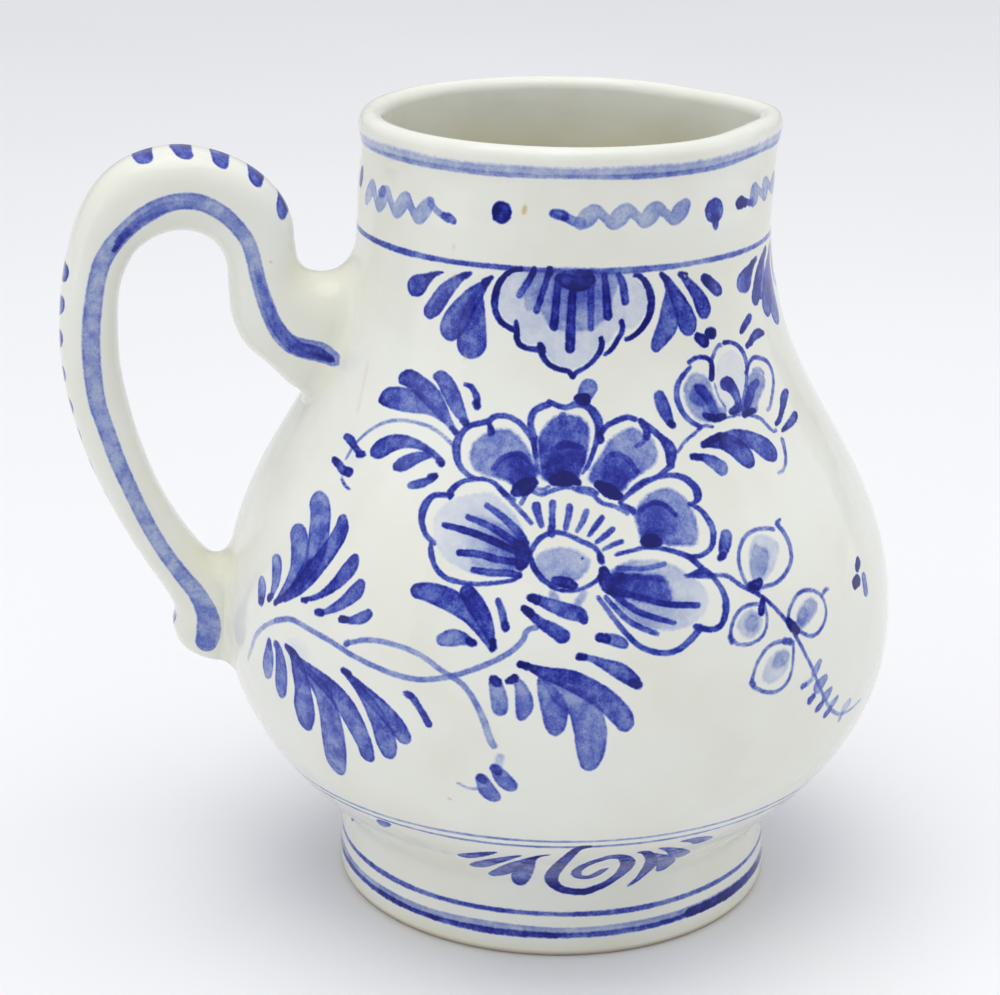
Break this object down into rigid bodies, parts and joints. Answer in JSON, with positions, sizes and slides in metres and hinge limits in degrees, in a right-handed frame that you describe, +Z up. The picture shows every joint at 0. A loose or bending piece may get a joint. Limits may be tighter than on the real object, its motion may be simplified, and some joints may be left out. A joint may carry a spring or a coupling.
{
  "type": "cream jug",
  "caption": "Small glazed porcelain jug with a pear-shaped body, ring foot, pinched spout and looped handle, for pouring cream or milk.",
  "frame": {"origin": "centre of the ring foot, on the plane that the jug stands on", "axes": "+Z up along the body's axis, +X from the axis towards the spout, -X towards the handle, +Y to the left when looking along +X"},
  "size_m": [0.1143, 0.0934, 0.11],
  "materials": {
    "glazed_body": "gloss",
    "glazed_handle": "gloss",
    "luting_slip": "gloss"
  },
  "bodies": {
    "root": {"jug_body": "glazed_body", "handle": "glazed_handle", "upper_luting_seam": "luting_slip", "lower_luting_seam": "luting_slip"}
  },
  "joints": []
}
